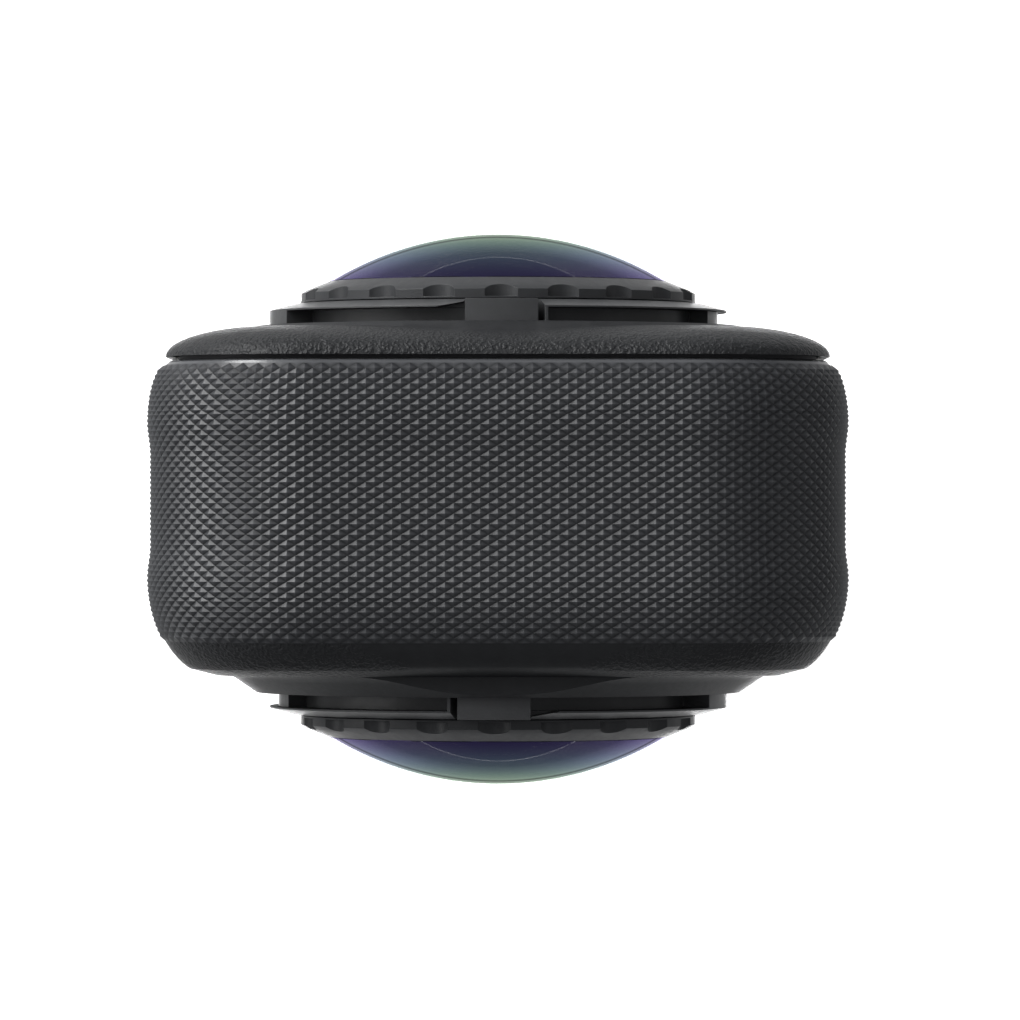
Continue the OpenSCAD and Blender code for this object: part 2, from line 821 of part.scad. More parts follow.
// Round button: a cap in the rear cover with a flange under it and a shallow dish in its face
dish_r = 30;
dish_depth = 0.2;
module round_button(x) {
    color(soft_black) translate([x, 0, round_button_z]) rotate([-90, 0, 0]) difference() {
        union() {
            translate([0, 0, round_inner]) cylinder(r = round_button_r + flange_w, h = flange_t);
            translate([0, 0, round_inner]) cylinder(r = round_button_r, h = rear_face - round_inner);
        }
        translate([0, 0, rear_face + dish_r - dish_depth]) sphere(dish_r, $fn = 96);
    }
}
module shutter_button() {
    round_button(-round_button_x);
}
module lens_select_button() {
    round_button(round_button_x);
}

// Port door: a slice of the band's own surface on a knuckle
module usb_door() {
    door_in = half_w - door_t;
    color(graphite) difference() {
        union() {
            intersection() {
                band_blank();
                box([door_in, port_y - door_w / 2, hinge_z],
                    [half_w + 1, port_y + door_w / 2, port_z + door_l / 2]);
            }
            translate([hinge_x, port_y - door_w / 2, hinge_z])
                rotate([-90, 0, 0]) cylinder(r = knuckle_r, h = door_w);
        }
        hinge_pin(seam_lap, pin_slack);
    }
}
module usb_door_pin() {
    color(steel) hinge_pin(pin_lap, 0);
}
module usb_door_gasket() {
    door_in = half_w - door_t;
    color(seal_grey) across(door_in - door_gasket_t, door_in) difference() {
        port_outline(port_gap + door_gasket_w);
        port_outline(port_gap);
    }
}

// Battery: the pack, its cover in the band's side, the seal between cover and band, and the latch
module battery_pack() {
    color(soft_black) across(-battery_face, pack_end) pack_outline(0);
}
module battery_cover() {
    knob_half = latch_w / 2 + button_gap;
    plate_half = latch_w / 2 + latch_lip + button_gap;
    color(graphite) difference() {
        intersection() {
            band_blank();
            across(-half_w - 1, -battery_face) battery_cover_outline(0);
        }
        box([-half_w - 1, latch_y - knob_half, latch_knob_z - button_gap],
            [-battery_face + 1, latch_y + knob_half, latch_knob_z + latch_l + latch_travel + button_gap]);
        box([-latch_plate_x - latch_plate_t - latch_gap, latch_y - plate_half,
             latch_knob_z - latch_foot - button_gap],
            [-battery_face + 1, latch_y + plate_half, battery_cover_top + 1]);
    }
}
module battery_gasket() {
    color(seal_grey) across(-battery_face, -battery_lip) difference() {
        battery_cover_outline(0);
        battery_cover_outline(-gasket_w);
    }
}
module battery_latch() {
    ribs = 4;
    rib_pitch = latch_l / (ribs + 0.5);
    outer = half_w - waist_depth;
    plate_half = latch_w / 2 + latch_lip;
    color(soft_black) difference() {
        union() {
            box([-latch_plate_x - latch_plate_t, latch_y - plate_half, latch_knob_z - latch_foot],
                [-latch_plate_x, latch_y + plate_half, latch_knob_z - latch_foot + latch_plate_l]);
            box([-outer, latch_y - latch_w / 2, latch_knob_z],
                [-latch_plate_x, latch_y + latch_w / 2, latch_knob_z + latch_l]);
        }
        for (i = [1:ribs])
            translate([-outer - 0.15, latch_y, latch_knob_z + rib_pitch * (i - 0.25)])
                cube([0.6, latch_w + 1, rib_pitch / 2], center = true);
    }
}

// A sector of a ring: a section in radius and height, swept between two angles from the top of the lens
module swept(from, to) {
    rotate([0, 0, from]) rotate_extrude(angle = to - from) children();
}
module ring_section(r0, r1, z0, z1) {
    translate([r0, z0]) square([r1 - r0, z1 - z0]);
}

// Fixed bayonet: a disc cut into key blocks, conical wings and the open slots under them.
// Angles run from the top of the lens. The second half turn differs only in where its first slot ends.
key_to = 9.9;
wing_from = 11.6;
ramp_from = 164.6;
wing_to = 171.2;
gap_to = 172;
slot_from = 12.4;
slot_ends = [71, 61];
second_slot_from = 114;
ramp_rise = 0.38;
ramp_margin = 0.1;
groove_lap = 0.3;
block_lap = 1.5;
cut_out = 1;
module lens_base() {
    out = wing_r + cut_out;
    low = lens_seat - seam_lap;
    high = base_top + cut_out;
    fall = (base_top - wing_tip) / (wing_r - wing_top_r);
    cone_out = out + cut_out;
    color(charcoal) difference() {
        rotate_extrude() polygon([
            [base_bore_r, spigot_end], [spigot_r, spigot_end], [spigot_r, lens_seat],
            [wing_r, lens_seat], [wing_r, base_top], [base_bore_r, base_top]]);
        for (half = [0, 1]) rotate([0, 0, 180 * half]) {
            swept(wing_from - 2 * groove_lap, wing_to + groove_lap) polygon([
                [wing_top_r - cut_out, base_top + fall * cut_out],
                [cone_out, base_top - fall * (cone_out - wing_top_r)],
                [cone_out, high + cut_out]]);
            swept(key_to, wing_from) ring_section(groove_core_r, out, low, high);
            swept(wing_to, gap_to) ring_section(groove_core_r, out, low, high);
            swept(slot_from, slot_ends[half]) ring_section(base_core_r, out, low, wing_under);
            swept(second_slot_from, wing_to + 2 * groove_lap) ring_section(base_core_r, out, low, wing_under);
            wing_ramp();
        }
        swept(slot_ends[0] - block_lap, second_slot_from + block_lap)
            ring_section(small_block_r, out, low, wing_under);
        base_screw_shafts(spigot_end, screw_slack);
    }
}

// Lead-in under the end of a wing, where the mating bayonet enters
module wing_ramp() {
    ramp_l = wing_r * sin(wing_to - ramp_from);
    slope = ramp_rise / ramp_l;
    lap_l = wing_r * sin(groove_lap);
    foot = wing_under - slot_h / 2;
    rotate([0, 0, wing_to]) translate([base_core_r + ramp_margin, 0, 0])
        rotate([90, 0, 90]) linear_extrude(wing_r - base_core_r + cut_out) polygon([
            [-ramp_l - slot_h / 2 / slope, foot],
            [lap_l, wing_under + ramp_rise + slope * lap_l], [lap_l, foot]]);
}
module lens_base_screws(cover_inner) {
    color(steel) for (a = base_screw_angles) rotate([0, 0, a]) translate([base_screw_ring, 0, 0]) {
        translate([0, 0, cover_inner - base_head_t]) cylinder(r = base_head_r, h = base_head_t);
        translate([0, 0, cover_inner - base_head_t / 2])
            cylinder(r = base_screw_r, h = base_screw_tip - cover_inner + base_head_t / 2);
    }
}

// Scalloped ring: twists in the bayonet's bore and carries the dome. The scallops stop above a thin lip.
ring_wall_h = 0.62;
ring_bevel_w = 0.4;
ring_bevel_h = 0.24;
ring_lip = 0.12;
module lens_ring() {
    color(graphite) difference() {
        rotate_extrude() polygon([
            [skirt_in, skirt_end], [skirt_r, skirt_end], [skirt_r, ring_foot], [ring_r, ring_foot],
            [ring_r, ring_foot + ring_wall_h],
            [ring_r - ring_bevel_w, ring_foot + ring_wall_h + ring_bevel_h],
            [dome_edge_r + dome_slack, ring_top],
            [dome_edge_r + dome_slack, dome_ledge], [skirt_in, dome_ledge]]);
        for (i = [0:scallops - 1])
            rotate([0, 0, 360 * i / scallops + 1])
                translate([ring_r - scallop_depth + scallop_r, 0, ring_foot + ring_lip])
                    cylinder(r = scallop_r, h = ring_h + seam_lap);
    }
}
module lens_dome() {
    foot = dome_ledge + dome_seal_t;
    color(clear_glass) difference() {
        intersection() {
            translate([0, 0, foot]) cylinder(r = dome_edge_r, h = dome_tip);
            translate([0, 0, dome_center]) sphere(dome_r, $fn = 128);
        }
        intersection() {
            cylinder(r = skirt_in + seal_inset, h = dome_tip);
            translate([0, 0, dome_center]) sphere(dome_r - dome_t, $fn = 128);
        }
    }
}
module dome_seal() {
    color(seal_grey) rotate_extrude()
        ring_section(skirt_in + seal_inset, dome_edge_r - seal_inset, dome_ledge, dome_ledge + dome_seal_t);
}

// Lens barrel: stepped ridges round its front glass, then a seat for each element
barrel_front = ring_foot - 0.6;
ridge_count = 4;
ridge_h = 0.27;
flange_r = 9.5;
waist_r = 8.6;
barrel_flange_t = 1.5;
front_glass_r = 6.5;
front_glass_seat = barrel_front - 2.2;
third_r = 6;
stop_z = 6.6;
stop_t = 0.6;
stop_r = 2;
rear_glass_r = 5;
chamber_r = 7.4;
chamber_end = barrel_foot + 2.4;
element_slack = 0.03;
ridge_w = (barrel_r - front_glass_r - 0.5) / ridge_count;
module lens_barrel() {
    color(soft_black) rotate_extrude() polygon(concat(
        [[chamber_r, barrel_foot], [flange_r, barrel_foot], [flange_r, barrel_foot + barrel_flange_t],
         [waist_r, barrel_foot + barrel_flange_t], [waist_r, skirt_end - 2.4], [barrel_r, skirt_end - 1.4]],
        [for (i = [0:ridge_count]) each [
            [barrel_r - i * ridge_w, barrel_front + (i - (i == 0 ? 0 : 1)) * ridge_h],
            [barrel_r - i * ridge_w, barrel_front + i * ridge_h]]],
        [[front_glass_r, barrel_front + ridge_count * ridge_h], [front_glass_r, front_glass_seat],
         [third_r, front_glass_seat], [third_r, stop_z + stop_t], [stop_r, stop_z + stop_t], [stop_r, stop_z],
         [rear_glass_r, stop_z], [rear_glass_r, chamber_end], [chamber_r, chamber_end]]));
}

// Glass elements behind the dome: a deep shell, then a stepped element whose round nose fills it
glass_clearance = 0.4;
front_glass_tip = dome_tip - dome_t - glass_clearance;
front_glass_curve = 10.8;
front_glass_t = 0.4;
front_glass_hollow = 5.6;
hollow_tip = front_glass_tip - front_glass_t;
module second_element() {
    color(clear_glass) difference() {
        intersection() {
            translate([0, 0, front_glass_seat])
                cylinder(r = front_glass_r - element_slack, h = front_glass_tip - front_glass_seat);
            translate([0, 0, front_glass_tip - front_glass_curve]) sphere(front_glass_curve, $fn = 96);
        }
        translate([0, 0, hollow_tip - front_glass_hollow]) sphere(front_glass_hollow, $fn = 96);
    }
}
third_curve = 9;
third_t = 2.9;
nose_gap = 0.2;
nose_r = 3.2;
nose_curve = 3.7;
nose_center = hollow_tip - nose_gap - nose_curve;
module third_element() {
    foot = stop_z + stop_t;
    color(clear_glass) {
        intersection() {
            translate([0, 0, foot]) cylinder(r = third_r - element_slack, h = third_t);
            translate([0, 0, foot + third_t - third_curve]) sphere(third_curve, $fn = 96);
        }
        translate([0, 0, foot]) cylinder(r = nose_r, h = nose_center - foot);
        intersection() {
            translate([0, 0, nose_center]) cylinder(r = nose_r, h = nose_curve);
            translate([0, 0, nose_center]) sphere(nose_curve, $fn = 96);
        }
    }
}
rear_glass_curve = 8;
rear_glass_t = 2.1;
module rear_element() {
    color(clear_glass) intersection() {
        translate([0, 0, stop_z - rear_glass_t]) cylinder(r = rear_glass_r - element_slack, h = rear_glass_t);
        translate([0, 0, stop_z - rear_glass_t + rear_glass_curve]) sphere(rear_glass_curve, $fn = 96);
    }
}
sensor_w = 10.8;
sensor_h = 9;
module image_sensor() {
    color("#223047") translate([0, 0, barrel_foot + sensor_t / 2])
        cube([sensor_h, sensor_w, sensor_t], center = true);
}
module sensor_board() {
    color(board_green) translate([0, 0, carrier_face]) linear_extrude(sensor_board_t)
        square(sensor_board_w, center = true);
}

mid_frame();
rear_cover();
front_cover();
rear_cover_gasket();
front_cover_gasket();
inner_chassis();
chassis_screws();
tripod_insert();
main_board();
processor();
processor_shield();
heat_spreader();
card_socket();
usb_port();
battery_contacts();
display_panel();
screen_glass();
speaker();
microphones();
antenna();
status_light();
side_switches();
rear_switches();
power_button();
quick_button();
shutter_button();
lens_select_button();
usb_door();
usb_door_pin();
usb_door_gasket();
battery_pack();
battery_cover();
battery_gasket();
battery_latch();
for (side = ["front", "rear"]) on_lens(side) {
    lens_base();
    lens_base_screws(side == "front" ? front_inner : rear_inner);
    lens_ring();
    lens_dome();
    dome_seal();
    lens_barrel();
    second_element();
    third_element();
    rear_element();
    image_sensor();
    sensor_board();
}
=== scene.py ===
import json

import bmesh
import bpy
import numpy as np
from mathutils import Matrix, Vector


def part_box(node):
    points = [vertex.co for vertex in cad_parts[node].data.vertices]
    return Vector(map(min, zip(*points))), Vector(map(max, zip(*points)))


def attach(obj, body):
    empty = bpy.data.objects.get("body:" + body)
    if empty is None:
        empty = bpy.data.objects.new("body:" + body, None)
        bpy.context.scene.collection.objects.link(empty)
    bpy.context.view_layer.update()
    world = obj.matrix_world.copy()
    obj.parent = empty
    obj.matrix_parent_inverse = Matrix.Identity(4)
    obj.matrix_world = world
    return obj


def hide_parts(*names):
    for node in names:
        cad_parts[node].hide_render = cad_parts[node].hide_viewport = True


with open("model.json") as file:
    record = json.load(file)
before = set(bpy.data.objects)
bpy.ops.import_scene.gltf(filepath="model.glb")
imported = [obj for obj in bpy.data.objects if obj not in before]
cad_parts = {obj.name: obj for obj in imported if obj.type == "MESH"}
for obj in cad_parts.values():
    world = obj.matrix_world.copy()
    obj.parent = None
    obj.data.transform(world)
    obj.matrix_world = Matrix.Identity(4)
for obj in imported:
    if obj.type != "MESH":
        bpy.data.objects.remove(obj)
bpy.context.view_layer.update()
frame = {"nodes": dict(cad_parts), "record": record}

# Stage and camera. The camera body stands upright on a pale floor and is seen from straight
# above, so the picture shows its top end with one lens pointing up the picture and one down.
scene = bpy.context.scene
scene.view_settings.view_transform = "Standard"
eye = bpy.data.objects.new("eye", bpy.data.cameras.new("eye"))
eye.data.lens = 254.4
eye.data.sensor_width = 36
eye.data.clip_start = 0.01
eye.location = (0.0008, -0.00006, 0.579)
scene.collection.objects.link(eye)
scene.camera = eye

# Floor. A white card, bright enough to read as the plain white ground that the object is shown on.
# It has no underside, so the base can be looked at from below.


def feed(value, socket):
    """Links a tone to a socket, or sets a plain value on it."""
    if isinstance(value, Tone):
        value.tree.links.new(value.socket, socket)
    else:
        socket.default_value = value


class Tone:
    """One socket of a shader. Arithmetic on it adds Math nodes, so a pattern reads as a formula."""

    def __init__(self, tree, socket=None):
        self.tree = tree
        self.socket = socket

    def node(self, kind, settings=None, values=None, out=0):
        """Adds a node of that type: its settings first, then the values or links of its sockets."""
        made = self.tree.nodes.new("ShaderNode" + kind)
        for name, setting in (settings or {}).items():
            if name == "stops":
                while len(made.color_ramp.elements) < len(setting):
                    made.color_ramp.elements.new(1.0)
                for stop, (place, colour) in zip(made.color_ramp.elements, setting):
                    stop.position = place
                    stop.color = (*colour, 1.0)
            else:
                setattr(made, name, setting)
        for name, value in (values or {}).items():
            feed(value, made.inputs[name])
        return Tone(self.tree, made.outputs[out])

    def math(self, operation, *others):
        """That operation of a Math node on this tone and on other tones or numbers."""
        return self.node("Math", {"operation": operation}, dict(enumerate((self, *others))))

    def __add__(self, other):
        return self.math("ADD", other)

    def __mul__(self, other):
        return self.math("MULTIPLY", other)

    def __sub__(self, other):
        return self.math("SUBTRACT", other)

    def __rsub__(self, other):
        return self.node("Math", {"operation": "SUBTRACT"}, {0: other, 1: self})

    __radd__ = __add__
    __rmul__ = __mul__

    def step(self, low, high):
        """0 below low and 1 above high, with an even rise between them."""
        return self.node("MapRange", values={"Value": self, "From Min": low, "From Max": high})

    def split(self):
        """The three coordinates of a vector."""
        first = self.node("SeparateXYZ", values={"Vector": self})
        return [Tone(self.tree, socket) for socket in first.socket.node.outputs]

    def speckle(self, size, detail=2.0):
        """Soft noise with blotches of about that many millimetres; self is a place in millimetres."""
        return self.node("TexNoise", values={"Vector": self, "Scale": 1 / size, "Detail": detail})

    def blend(self, low, high):
        """A colour between low and high, by this tone."""
        return self.node("Mix", {"data_type": "RGBA"}, {"Factor": self, 6: low, 7: high}, 2)

    def relief(self, height):
        """A normal from this tone as a relief, whose value 1 stands that many millimetres high."""
        return self.node("Bump", values={"Height": self, "Distance": height / 1000, "Strength": 1.0})


def finish(name):
    """A new material, and the place on the object in millimetres that its patterns are made from."""
    material = bpy.data.materials.new(name)
    material.use_nodes = True
    metres = Tone(material.node_tree).node("TexCoord", out="Object")
    place = metres.node("VectorMath", {"operation": "SCALE"}, {0: metres, "Scale": 1000.0})
    return material, place


def lay(material, **values):
    """Sets or links the sockets of the material's shader; a name's underscores stand for spaces."""
    shader = material.node_tree.nodes["Principled BSDF"]
    for name, value in values.items():
        feed(value, shader.inputs[name.replace("_", " ")])


def mix_with(material, factor, other):
    """Makes the material a mix of its shader and another one, by that factor."""
    tree = material.node_tree
    shader = Tone(tree, tree.nodes["Principled BSDF"].outputs[0])
    mixed = factor.node("MixShader", values={0: factor, 1: shader, 2: other})
    feed(mixed, tree.nodes["Material Output"].inputs["Surface"])


floor_half, floor_top = 3.0, -0.0003
floor_finish, place = finish("floor_card")
lay(floor_finish, Base_Color=place.speckle(40).blend((0.9, 0.9, 0.9, 1), (0.94, 0.94, 0.94, 1)),
    Roughness=0.9, Emission_Color=(1, 1, 1, 1), Emission_Strength=1.0)
mix_with(floor_finish, place.node("NewGeometry", out="Backfacing"), place.node("BsdfTransparent"))
floor_mesh = bpy.data.meshes.new("floor")
square = (-1, -1), (1, -1), (1, 1), (-1, 1)
floor_mesh.from_pydata([(floor_half * x, floor_half * y, floor_top) for x, y in square], [], [(0, 1, 2, 3)])
floor_mesh.materials.append(floor_finish)
floor = bpy.data.objects.new("floor", floor_mesh)
scene.collection.objects.link(floor)
floor.visible_diffuse = floor.visible_glossy = False

# Light. Soft boxes high and low behind the upper left corner of the picture catch the upper left faces
# of the knurl and the band's rim; weak cards stand at both sides. The room is white under the object,
# brightest straight below, dark at the horizon and dim above.
room = bpy.data.worlds.new("room")
room.use_nodes = True
backdrop = room.node_tree.nodes["Background"].inputs
aim = Tone(room.node_tree).node("TexCoord", out="Generated").split()[2]
dome_of_light = aim.node("ValToRGB", {"stops": [
    (0.0, (0.75, 0.75, 0.75)), (0.08, (0.75, 0.75, 0.75)), (0.13, (0.5, 0.51, 0.52)),
    (0.3, (0.49, 0.5, 0.51)), (0.36, (0.06, 0.061, 0.063)), (0.5, (0.05, 0.051, 0.053)),
    (0.58, (0.262, 0.266, 0.275)), (1.0, (0.262, 0.266, 0.275))]}, {"Fac": aim * 0.5 + 0.5})
seen = aim.node("LightPath", out="Is Camera Ray").blend(dome_of_light, (0.94, 0.94, 0.94, 1))
straight_below, glow_below = (0 - aim).step(0.965, 0.985), 16
feed(seen, backdrop["Color"])
feed(straight_below * glow_below + 1, backdrop["Strength"])
scene.world = room
box_distance, box_height = 0.8, 0.08


def soft_box(name, toward, width, power):
    """A square area light in a direction from the object's upper half, turned to face it."""
    lamp = bpy.data.lights.new(name, "AREA")
    lamp.shape = "SQUARE"
    lamp.size = width
    lamp.energy = power
    box = bpy.data.objects.new(name, lamp)
    way = np.array(toward) / np.linalg.norm(toward)
    box.location = way * box_distance + (0, 0, box_height)
    box.rotation_euler = (np.arccos(way[2]), 0, np.arctan2(way[1], way[0]) + np.pi / 2)
    scene.collection.objects.link(box)


soft_box("key_box", (-0.43, 0.72, 0.54), 0.6, 1.6)
soft_box("corner_box", (-0.75, 0.55, 0.5), 0.4, 2.3)
soft_box("low_box", (-0.62, 0.75, 0.22), 0.5, 3.2)
soft_box("rim_box", (-0.5, 0.86, -0.03), 0.2, 1.2)
soft_box("left_card", (-0.97, 0.1, 0.22), 0.5, 1.2)
soft_box("right_card", (0.95, 0.2, 0.1), 0.6, 0.3)
soft_box("top_card", (-0.25, 0.25, 0.93), 0.4, 0.3)

# Chassis. A die-cast alloy frame holds the battery bay, the boards and the plate that carries both
# lenses; it is bare metal with the fine grain of the casting, and steel screws hold it to the band.
# The screws of the lens bases and the pin of the port door are of the same steel.


def dress(material, *nodes):
    """Gives CAD nodes a material of the scene."""
    for node in nodes:
        slots = frame["nodes"][node].data.materials
        slots.clear()
        slots.append(material)


def cast(name, colour, metallic, rough, grain, depth):
    """One colour in blotches of tone, over a fine relief that many millimetres across and deep."""
    material, place = finish(name)
    dark = tuple(0.8 * c for c in colour)
    light = tuple(min(1.0, 1.15 * c) for c in colour)
    lay(material, Base_Color=place.speckle(6 * grain, 4).blend((*dark, 1), (*light, 1)),
        Metallic=metallic, Roughness=place.speckle(3 * grain) * 0.16 + (rough - 0.08),
        Normal=place.speckle(grain).relief(depth))
    return material


dress(cast("chassis_alloy", (0.5, 0.51, 0.53), 1.0, 0.42, 0.35, 0.02), "inner_chassis")
dress(cast("screw_steel", (0.56, 0.56, 0.58), 1.0, 0.3, 0.2, 0.004), "chassis_screws",
      "front_lens_base_screws", "rear_lens_base_screws", "usb_door_pin")

# Boards. Two-sided boards under green solder mask carry the processor under its tinned shield, the card
# socket and the port; a rolled copper sheet takes the heat to the chassis. Rubber cords seal the case.
board_mask, place = finish("circuit_board")
wave = {"Vector": place, "Scale": 0.9, "Distortion": 3.0}
track = place.node("TexWave", {"bands_direction": "Z"}, wave, 1).step(0.72, 0.78)
lay(board_mask, Base_Color=track.blend((0.008, 0.05, 0.025, 1), (0.02, 0.1, 0.05, 1)), Roughness=0.34,
    Normal=track.relief(0.02))
dress(board_mask, "main_board", "front_sensor_board", "rear_sensor_board")
dress(cast("black_plastic", (0.02, 0.02, 0.022), 0.0, 0.5, 0.3, 0.006), "processor", "display_panel",
      "speaker", "microphones", "side_switches", "rear_switches", "battery_pack")
dress(cast("tinned_steel", (0.6, 0.61, 0.62), 1.0, 0.33, 0.5, 0.006), "processor_shield", "card_socket",
      "usb_port")
dress(cast("copper_sheet", (0.6, 0.32, 0.19), 1.0, 0.36, 0.6, 0.006), "heat_spreader")
dress(cast("contact_brass", (0.76, 0.6, 0.3), 1.0, 0.25, 0.3, 0.003), "battery_contacts", "antenna")
dress(cast("seal_rubber", (0.045, 0.045, 0.05), 0.0, 0.62, 0.2, 0.006), "rear_cover_gasket",
      "front_cover_gasket", "usb_door_gasket", "battery_gasket", "front_dome_seal", "rear_dome_seal")

# Band. One moulded ring of black glass-filled plastic makes the top end, both sides and the base. Its
# waist is drawn in between two bulges, and each edge is rounded off towards its cover.


def middle_and_half(node):
    """Middle and half size of the box round a CAD node, in millimetres to two places."""
    low, high = np.array(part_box(node)) * 1000
    return np.round((low + high) / 2, 2), np.round((high - low) / 2, 2)


band_middle, band_half = middle_and_half("mid_frame")
corner_round, bulge_at, waist_half, waist_depth = 11.0, 5.1, 3.0, 0.2
rear_run, rear_drop, front_run, front_drop = band_half[1] - bulge_at, 1.5, 6.6, 4.5


def band_inset(y):
    """How far the surface lies inside the outline at depth y: a shallow waist, then quarter ellipses."""
    off = np.abs(y - band_middle[1])
    ease = np.clip((off - waist_half) / (bulge_at - waist_half), 0, 1)
    waist = waist_depth * (1 - ease * ease * (3 - 2 * ease))
    run = np.where(y > band_middle[1], rear_run, front_run)
    drop = np.where(y > band_middle[1], rear_drop, front_drop)
    over = np.clip((off - bulge_at) / run, 0, 1)
    return np.where(off <= bulge_at, waist, drop * (1 - np.sqrt(1 - over * over)))


turn = corner_round * np.pi / 2
half_across = band_half[0] - corner_round
half_up = band_half[2] - corner_round
legs = np.cumsum([0, half_across, turn, 2 * half_up, turn, 2 * half_across, turn, 2 * half_up, turn,
                  half_across])


def round_band(length, out):
    """The point at a length round the outline, moved outwards: corner centres carry a turning radius."""
    low, high = corner_round, 2 * band_half[2] - corner_round
    x = np.interp(length, legs, np.array([0, 1, 1, 1, 1, -1, -1, -1, -1, 0]) * half_across)
    z = np.interp(length, legs, [low, low, low, high, high, high, high, low, low, low])
    angle = np.interp(length, legs, np.radians([-90, -90, 0, 0, 90, 90, 180, 180, 270, 270]))
    return x + (corner_round + out) * np.cos(angle), z + (corner_round + out) * np.sin(angle)


def sheet(name, points, faces, body, material):
    """A piece from an array of points in millimetres and an array of faces, riding on a body."""
    mesh = bpy.data.meshes.new(name)
    mesh.from_pydata((points / 1000).tolist(), [], faces.tolist())
    mesh.materials.append(material)
    piece = bpy.data.objects.new(name, mesh)
    scene.collection.objects.link(piece)
    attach(piece, body)
    return piece


bodies = frame["record"]["behaviour"]["bodies"]
carried_by = {node: body for body, nodes in bodies.items() for node in nodes}
flat_within, edge_over = np.radians(0.5), np.radians(40)


def skin(material, *nodes, crease=28, soften=0):
    """Stands a merged copy of each CAD node's mesh in its place, rounded in shading below that many
    degrees, with its sharper edges broken by a bevel that many millimetres wide."""
    for node in nodes:
        solid = frame["nodes"][node].data
        places = np.empty(3 * len(solid.vertices))
        solid.vertices.foreach_get("co", places)
        corners = np.empty(len(solid.loops), int)
        solid.loops.foreach_get("vertex_index", corners)
        places = np.round(places.reshape(-1, 3) * 1000, 5)
        points, joined = np.unique(places, axis=0, return_inverse=True)
        faces = joined.ravel()[corners].reshape(-1, 3)
        faces = faces[(faces != np.roll(faces, 1, axis=1)).all(axis=1)]
        piece = sheet(node + "_skin", points, faces, carried_by[node], material)
        piece.data.shade_smooth()
        piece.data.set_sharp_from_angle(angle=np.radians(crease))
        if soften:
            whole = piece.modifiers.new("whole_faces", "DECIMATE")
            whole.decimate_type, whole.angle_limit = "DISSOLVE", flat_within
            broken = piece.modifiers.new("broken_edges", "BEVEL")
            broken.width, broken.segments = soften / 1000, 2
            broken.limit_method, broken.angle_limit = "ANGLE", edge_over
            broken.harden_normals = True
        else:
            even = piece.modifiers.new("even_shading", "WEIGHTED_NORMAL")
            even.keep_sharp = True
        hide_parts(node)


satin_band, place = finish("knurled_band")
# The band's rear rim (depth 9.2 to 9.5 mm) is painted lighter in base colour, over blotches of tone: a
# painted highlight. The same rim is also made glossier.
rim_from, rim_to = 9.2, 9.5
rim = place.split()[1].step(rim_from, rim_to)
mottle_and_painted_light = place.speckle(2.5, 5) * 0.3 + rim * 0.6
lay(satin_band, Base_Color=mottle_and_painted_light.blend((0.03, 0.032, 0.035, 1), (0.12, 0.123, 0.13, 1)),
    Roughness=place.speckle(0.5) * 0.1 + 0.24 - rim * 0.08, Normal=place.speckle(0.09).relief(0.004))
skin(satin_band, "mid_frame", "battery_cover", "usb_door")

# Knurl. The moulded band carries small four-sided points in staggered rows. They run in three zones that
# meet at two seams, stop short of every opening, and go on over the battery cover and the port door.
point_pitch, point_height, seat_height, sunk, edge_sink = 1.135, 0.16, 0.03, -0.1, 0.01
columns = 2 * round(legs[-1] / point_pitch)
first_row, row_pitch, seam_pitch = -8.7, 0.3396, 0.26
front_zone, middle_zone, rear_zone = 8 * [row_pitch], 35 * [row_pitch], 9 * [row_pitch]
row_depth = np.cumsum([first_row, *front_zone, seam_pitch, *middle_zone, seam_pitch, *rear_zone])
cover_corner, door_hang, button_flange, hole_radius = 2.0, 0.8, 0.7, 0.45
latch_middle, latch_half, latch_corner = (-22.2, 4.6, 60.5), (0.6, 2.2, 3.5), 0.2
flank, far_off, clear_of_edge, foot_height = 15, 99, 0.35, 1.2


def from_edge(y, z, middle, half, corner):
    """Distance of a place from the edge of a rounded opening, less than nothing inside it."""
    beside = np.abs(y - middle[1]) - half[1] + corner
    beyond = np.abs(z - middle[2]) - half[2] + corner
    outside = np.hypot(np.maximum(beside, 0), np.maximum(beyond, 0))
    return outside + np.minimum(np.maximum(beside, beyond), 0) - corner


def port_edge(x, y, z, below=0.0):
    """Distance from the port door's edge, made that much longer below, where the open door hangs."""
    middle, half = middle_and_half("usb_door")
    edge = from_edge(y, z + below / 2, middle, half + (0, 0, below / 2), cover_corner)
    return np.where(x > flank, edge, far_off)


def battery_edge(x, y, z):
    """Distance from the battery cover's edge, on the side where the cover is."""
    edge = from_edge(y, z, *middle_and_half("battery_cover"), cover_corner)
    return np.where(x < -flank, edge, far_off)


def latch_edge(x, y, z):
    """Distance from the edge of the latch's slot, on the side where the battery cover is."""
    edge = from_edge(y, z, latch_middle, latch_half, latch_corner)
    return np.where(x < -flank, edge, far_off)


def small_openings(x, y, z):
    """Distance from the nearest side button or microphone hole; the foot of the band counts as one."""
    nearest = z - foot_height
    for button in ("power_button", "quick_button"):
        middle, half = middle_and_half(button)
        cap = half - button_flange
        edge = from_edge(y, z, middle, cap, cap[1])
        nearest = np.minimum(nearest, np.where(x > flank, edge, far_off))
    hole = middle_and_half("microphones")[0]
    edge = np.hypot(y - hole[1], z - hole[2]) - hole_radius
    return np.minimum(nearest, np.where(np.abs(x) > flank, edge, far_off))


